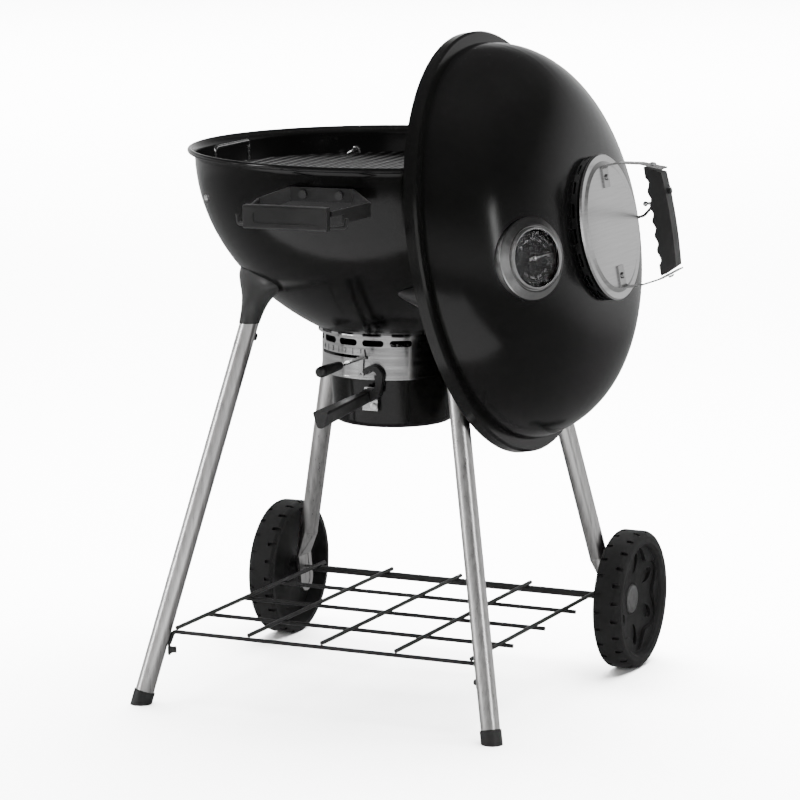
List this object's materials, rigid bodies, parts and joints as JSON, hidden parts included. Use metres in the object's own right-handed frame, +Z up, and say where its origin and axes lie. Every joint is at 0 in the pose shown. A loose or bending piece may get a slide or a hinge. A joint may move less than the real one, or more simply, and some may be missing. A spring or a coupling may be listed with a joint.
{
  "type": "kettle charcoal grill",
  "caption": "Round kettle charcoal grill on tube legs and two wheels, with hinged cooking grate, swept bottom vents, ash bucket, wire shelf and lift-off lid hung on the rim.",
  "frame": {"origin": "on the floor, straight under the bowl's axis", "axes": "+X to the right (the lid's side), -Y to the front (the side handle's side), +Z up"},
  "size_m": [0.7294, 0.7362, 0.9329],
  "materials": {
    "enamel": "gloss black vitreous enamel",
    "stainless_leg": "satin stainless tube",
    "socket_casting": "satin black moulding",
    "foot_plastic": "matte black",
    "dark_fastener": "black-coated steel",
    "bright_fastener": "bright zinc",
    "black_wire": "black coated wire",
    "axle_steel": "plain steel bar",
    "wheel_plastic": "matte dark grey moulding",
    "hub_grey": "satin grey cap",
    "collar_steel": "bright brushed sheet",
    "damper_steel": "satin sheet",
    "grip_plastic": "textured black",
    "chrome_wire": "plated wire",
    "plain_wire": "plain steel wire",
    "shield_steel": "brushed light steel",
    "bezel_metal": "satin silver",
    "dial_face": "dark printed dial",
    "needle_paint": "painted needle",
    "gauge_glass": "clear"
  },
  "bodies": {
    "grill": {"bowl": "enamel", "leg_front_left": "stainless_leg", "leg_front_right": "stainless_leg", "leg_rear_left": "stainless_leg", "leg_rear_right": "stainless_leg", "leg_socket_front_left": "socket_casting", "leg_socket_front_right": "socket_casting", "leg_socket_rear_left": "socket_casting", "leg_socket_rear_right": "socket_casting", "foot_cap_left": "foot_plastic", "foot_cap_right": "foot_plastic", "leg_bolts": "dark_fastener", "shelf": "black_wire", "shelf_bolts": "dark_fastener", "axle": "axle_steel", "axle_washers": "dark_fastener", "axle_nuts": "dark_fastener", "vent_collar": "collar_steel", "collar_screws": "bright_fastener", "side_handle_bar": "black_wire", "side_handle_grip": "grip_plastic", "tool_hooks": "black_wire", "side_handle_bolts": "dark_fastener", "grate_supports": "damper_steel", "support_bolts": "dark_fastener"},
    "left_wheel": {"wheel_left": "wheel_plastic", "hub_cap_left": "hub_grey"},
    "right_wheel": {"wheel_right": "wheel_plastic", "hub_cap_right": "hub_grey"},
    "vent_damper": {"vent_shaft": "damper_steel", "vent_blades": "damper_steel", "vent_lever": "damper_steel", "vent_lever_grip": "grip_plastic"},
    "bucket": {"ash_bucket": "enamel", "bucket_bracket": "collar_steel", "bucket_rivet": "bright_fastener"},
    "bucket_latch": {"bucket_handle": "grip_plastic", "bucket_handle_pin": "bright_fastener"},
    "grate": {"cooking_grate": "chrome_wire", "grate_hinge_loops": "chrome_wire"},
    "left_flap": {"grate_flap_left": "chrome_wire", "grate_handle_left": "chrome_wire"},
    "right_flap": {"grate_flap_right": "chrome_wire", "grate_handle_right": "chrome_wire"},
    "coal_grate": {"charcoal_grate": "plain_wire"},
    "lid": {"lid_shell": "enamel", "lid_hook": "damper_steel", "lid_vent_housing": "black_wire", "damper_rivet": "dark_fastener", "heat_shield": "shield_steel", "lid_strap_top": "damper_steel", "lid_strap_bottom": "damper_steel", "lid_grip": "grip_plastic", "lid_handle_screws": "bright_fastener", "gauge_bezel": "bezel_metal", "gauge_dial": "dial_face", "gauge_lens": "gauge_glass", "gauge_probe": "damper_steel"},
    "smoke_damper": {"lid_damper": "damper_steel"},
    "needle": {"gauge_needle": "needle_paint"}
  },
  "joints": [
    {"name": "left_wheel_spin", "type": "hinge", "parent": "grill", "child": "left_wheel", "pos_m": [-0.2767, 0.218, 0.1003], "axis": [1, 0, 0], "continuous": true},
    {"name": "right_wheel_spin", "type": "hinge", "parent": "grill", "child": "right_wheel", "pos_m": [0.2767, 0.218, 0.1003], "axis": [1, 0, 0], "continuous": true},
    {"name": "vent_sweep", "type": "hinge", "parent": "grill", "child": "vent_damper", "pos_m": [0, 0, 0.49], "axis": [0, 0, 1], "range_deg": [-40, 0]},
    {"name": "bucket_drop", "type": "slide", "parent": "grill", "child": "bucket", "axis": [0, 0, -1], "range_m": [0, 0.115]},
    {"name": "bucket_latch_turn", "type": "hinge", "parent": "bucket", "child": "bucket_latch", "pos_m": [0.01, -0.095, 0.431], "axis": [0, 1, 0], "range_deg": [0, 40]},
    {"name": "grate_lift", "type": "slide", "parent": "grill", "child": "grate", "axis": [0, 0, 1], "range_m": [0, 0.03]},
    {"name": "left_flap_turn", "type": "hinge", "parent": "grate", "child": "left_flap", "pos_m": [-0.15, 0, 0.738], "axis": [0, 1, 0], "range_deg": [0, 88]},
    {"name": "right_flap_turn", "type": "hinge", "parent": "grate", "child": "right_flap", "pos_m": [0.15, 0, 0.738], "axis": [0, -1, 0], "range_deg": [0, 80]},
    {"name": "coal_grate_lift", "type": "slide", "parent": "grill", "child": "coal_grate", "axis": [0, 0, 1], "range_m": [0, 0.075]},
    {"name": "lid_lift_off", "type": "slide", "parent": "grill", "child": "lid", "axis": [0.7071, 0, 0.7071], "range_m": [0, 0.35]},
    {"name": "smoke_damper_turn", "type": "hinge", "parent": "lid", "child": "smoke_damper", "pos_m": [0.31862, -0.0019, 0.67021], "axis": [0.9839, 0, 0.1788], "range_deg": [-28, 28]},
    {"name": "needle_turn", "type": "hinge", "parent": "lid", "child": "needle", "pos_m": [0.29372, -0.19838, 0.65119], "axis": [0.8888, -0.4398, 0.1291], "range_deg": [-135, 135]}
  ]
}
